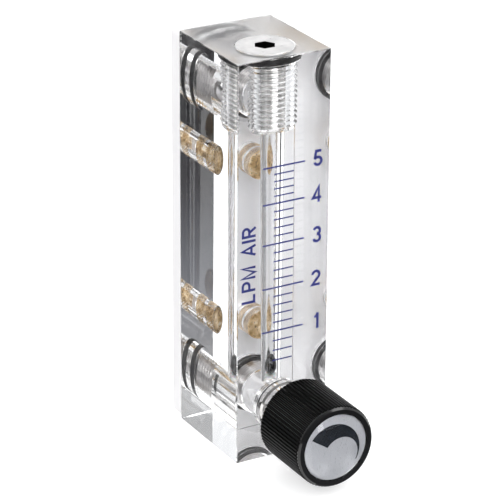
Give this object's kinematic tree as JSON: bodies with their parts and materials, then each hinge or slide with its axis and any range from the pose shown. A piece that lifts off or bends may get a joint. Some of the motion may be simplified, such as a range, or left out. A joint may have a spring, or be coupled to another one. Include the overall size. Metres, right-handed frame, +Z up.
{
  "type": "gas flow meter with regulating valve",
  "caption": "Clear block variable-area gas flow meter: ball float in a tapered bore, two threaded rear ports and a front needle valve with a ribbed knob.",
  "frame": {"origin": "centre of the block's bottom face, which the part stands on", "axes": "+Z up along the flow tube, +Y out of the rear ports, +X to the right seen from the front, so the knob faces -Y"},
  "size_m": [0.0254, 0.06, 0.104],
  "materials": {
    "clear_acrylic": "clear, polished",
    "white_backing": "satin",
    "nickel_plated_metal": "bright nickel plate over brass",
    "seal_rubber": "satin",
    "white_acetal": "satin",
    "black_float": "polished",
    "brass_insert": "knurled",
    "bright_collar": "polished",
    "steel_stem": "turned",
    "black_knob": "moulded, ribbed",
    "silver_label": "satin metallised film",
    "clear_dome": "clear resin",
    "scale_ink": "screen print",
    "mark_ink": "screen print"
  },
  "bodies": {
    "meter_body": {"acrylic_body": "clear_acrylic", "back_plate": "white_backing", "top_plug": "nickel_plated_metal", "top_plug_o_ring": "seal_rubber", "upper_float_stop": "white_acetal", "lower_float_stop": "white_acetal", "inlet_port_bushing": "nickel_plated_metal", "inlet_port_o_ring": "seal_rubber", "outlet_port_bushing": "nickel_plated_metal", "outlet_port_o_ring": "seal_rubber", "lower_mounting_insert": "brass_insert", "upper_mounting_insert": "brass_insert", "valve_cartridge": "bright_collar", "valve_cartridge_o_ring": "seal_rubber", "valve_sleeve_o_ring": "seal_rubber", "valve_seat": "white_acetal"},
    "float": {"float_ball": "black_float"},
    "stem_slide": {"stem_o_ring": "seal_rubber"},
    "knob_and_stem": {"valve_stem": "steel_stem", "knob": "black_knob", "knob_bushing": "brass_insert", "knob_set_screw": "steel_stem", "knob_disc": "silver_label", "knob_dome": "clear_dome"}
  },
  "joints": [
    {"name": "float_lift", "type": "slide", "parent": "meter_body", "child": "float", "axis": [0, 0, 1], "range_m": [0, 0.06]},
    {"name": "stem_travel", "type": "slide", "parent": "meter_body", "child": "stem_slide", "axis": [0, -1, 0], "range_m": [0, 0.00397]},
    {"name": "knob_turn", "type": "hinge", "parent": "stem_slide", "child": "knob_and_stem", "pos_m": [0, -0.03, 0.0129], "axis": [0, -1, 0], "range_deg": [0, 1800]}
  ],
  "couplings": [
    {"joint": "stem_travel", "follows": "knob_turn", "m_per_rad": 0.00012633}
  ]
}
